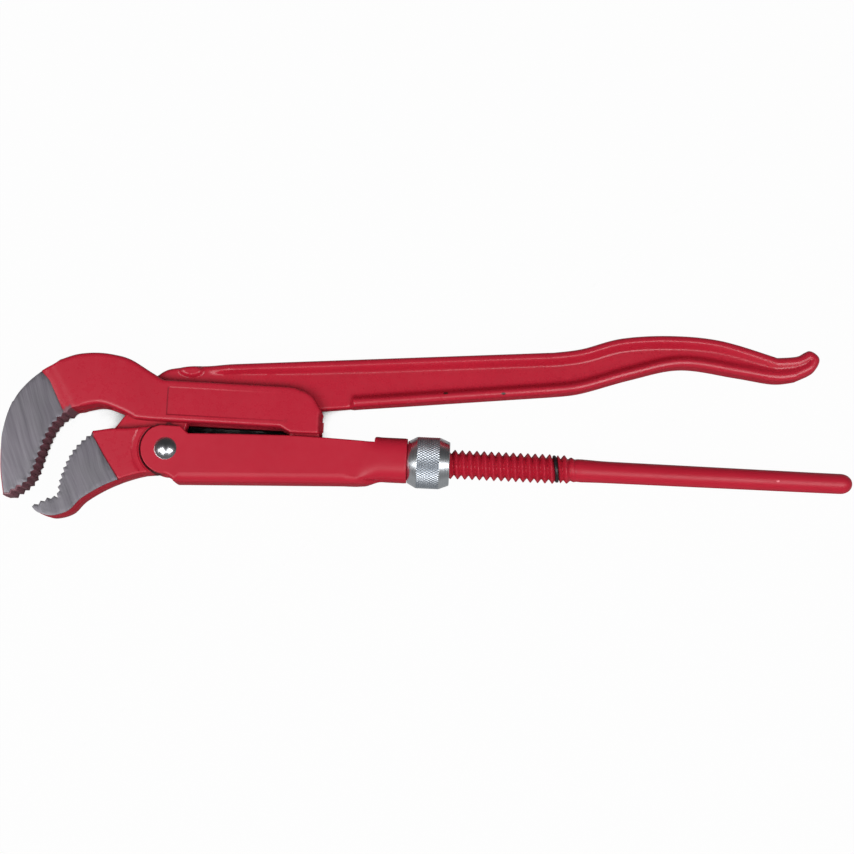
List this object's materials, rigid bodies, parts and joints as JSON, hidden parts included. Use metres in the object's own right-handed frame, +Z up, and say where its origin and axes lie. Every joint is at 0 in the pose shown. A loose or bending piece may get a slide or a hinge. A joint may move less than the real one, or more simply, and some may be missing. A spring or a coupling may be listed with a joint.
{
  "type": "pipe wrench",
  "caption": "Swedish-pattern pipe wrench with S-shaped jaws: two crossing levers, a housing that slides on a threaded rod, and a knurled adjusting nut.",
  "frame": {"origin": "below the middle of the tool's box, on the surface that it lies on", "axes": "+X along the threaded rod towards the handle ends, +Y from the rod towards the upper handle, +Z up out of the flat side"},
  "size_m": [0.423, 0.1052, 0.027],
  "materials": {
    "red_paint": "glossy enamel over a forged surface",
    "ground_steel": "bare, ground jaw sides with diagonal grinding marks",
    "zinc_plate": "bright zinc, diamond knurl",
    "bright_steel": "polished steel",
    "spring_steel": "blued",
    "black_rubber": "matt black"
  },
  "bodies": {
    "hook_lever": {"hook_lever": "red_paint", "stop_ring": "black_rubber"},
    "housing": {"guide_housing": "red_paint", "pivot_rivet": "bright_steel", "leaf_spring": "spring_steel", "spring_rivet": "bright_steel", "nut_snap_ring": "spring_steel"},
    "nut": {"adjusting_nut": "zinc_plate"},
    "jaw_lever": {"jaw_lever": "red_paint"}
  },
  "joints": [
    {"name": "housing_slide", "type": "slide", "parent": "hook_lever", "child": "housing", "axis": [1, 0, 0], "range_m": [-0.009, 0.0475]},
    {"name": "nut_turn", "type": "hinge", "parent": "housing", "child": "nut", "pos_m": [0.00048, -0.01671, 0.0135], "axis": [1, 0, 0], "range_deg": [-893, 4711]},
    {"name": "jaw_pivot", "type": "hinge", "parent": "housing", "child": "jaw_lever", "pos_m": [-0.12952, -0.01671, 0.0135], "axis": [0, 0, 1], "range_deg": [-4, 6]}
  ],
  "couplings": [
    {"joint": "nut_turn", "follows": "housing_slide", "rad_per_m": 1730.9}
  ]
}
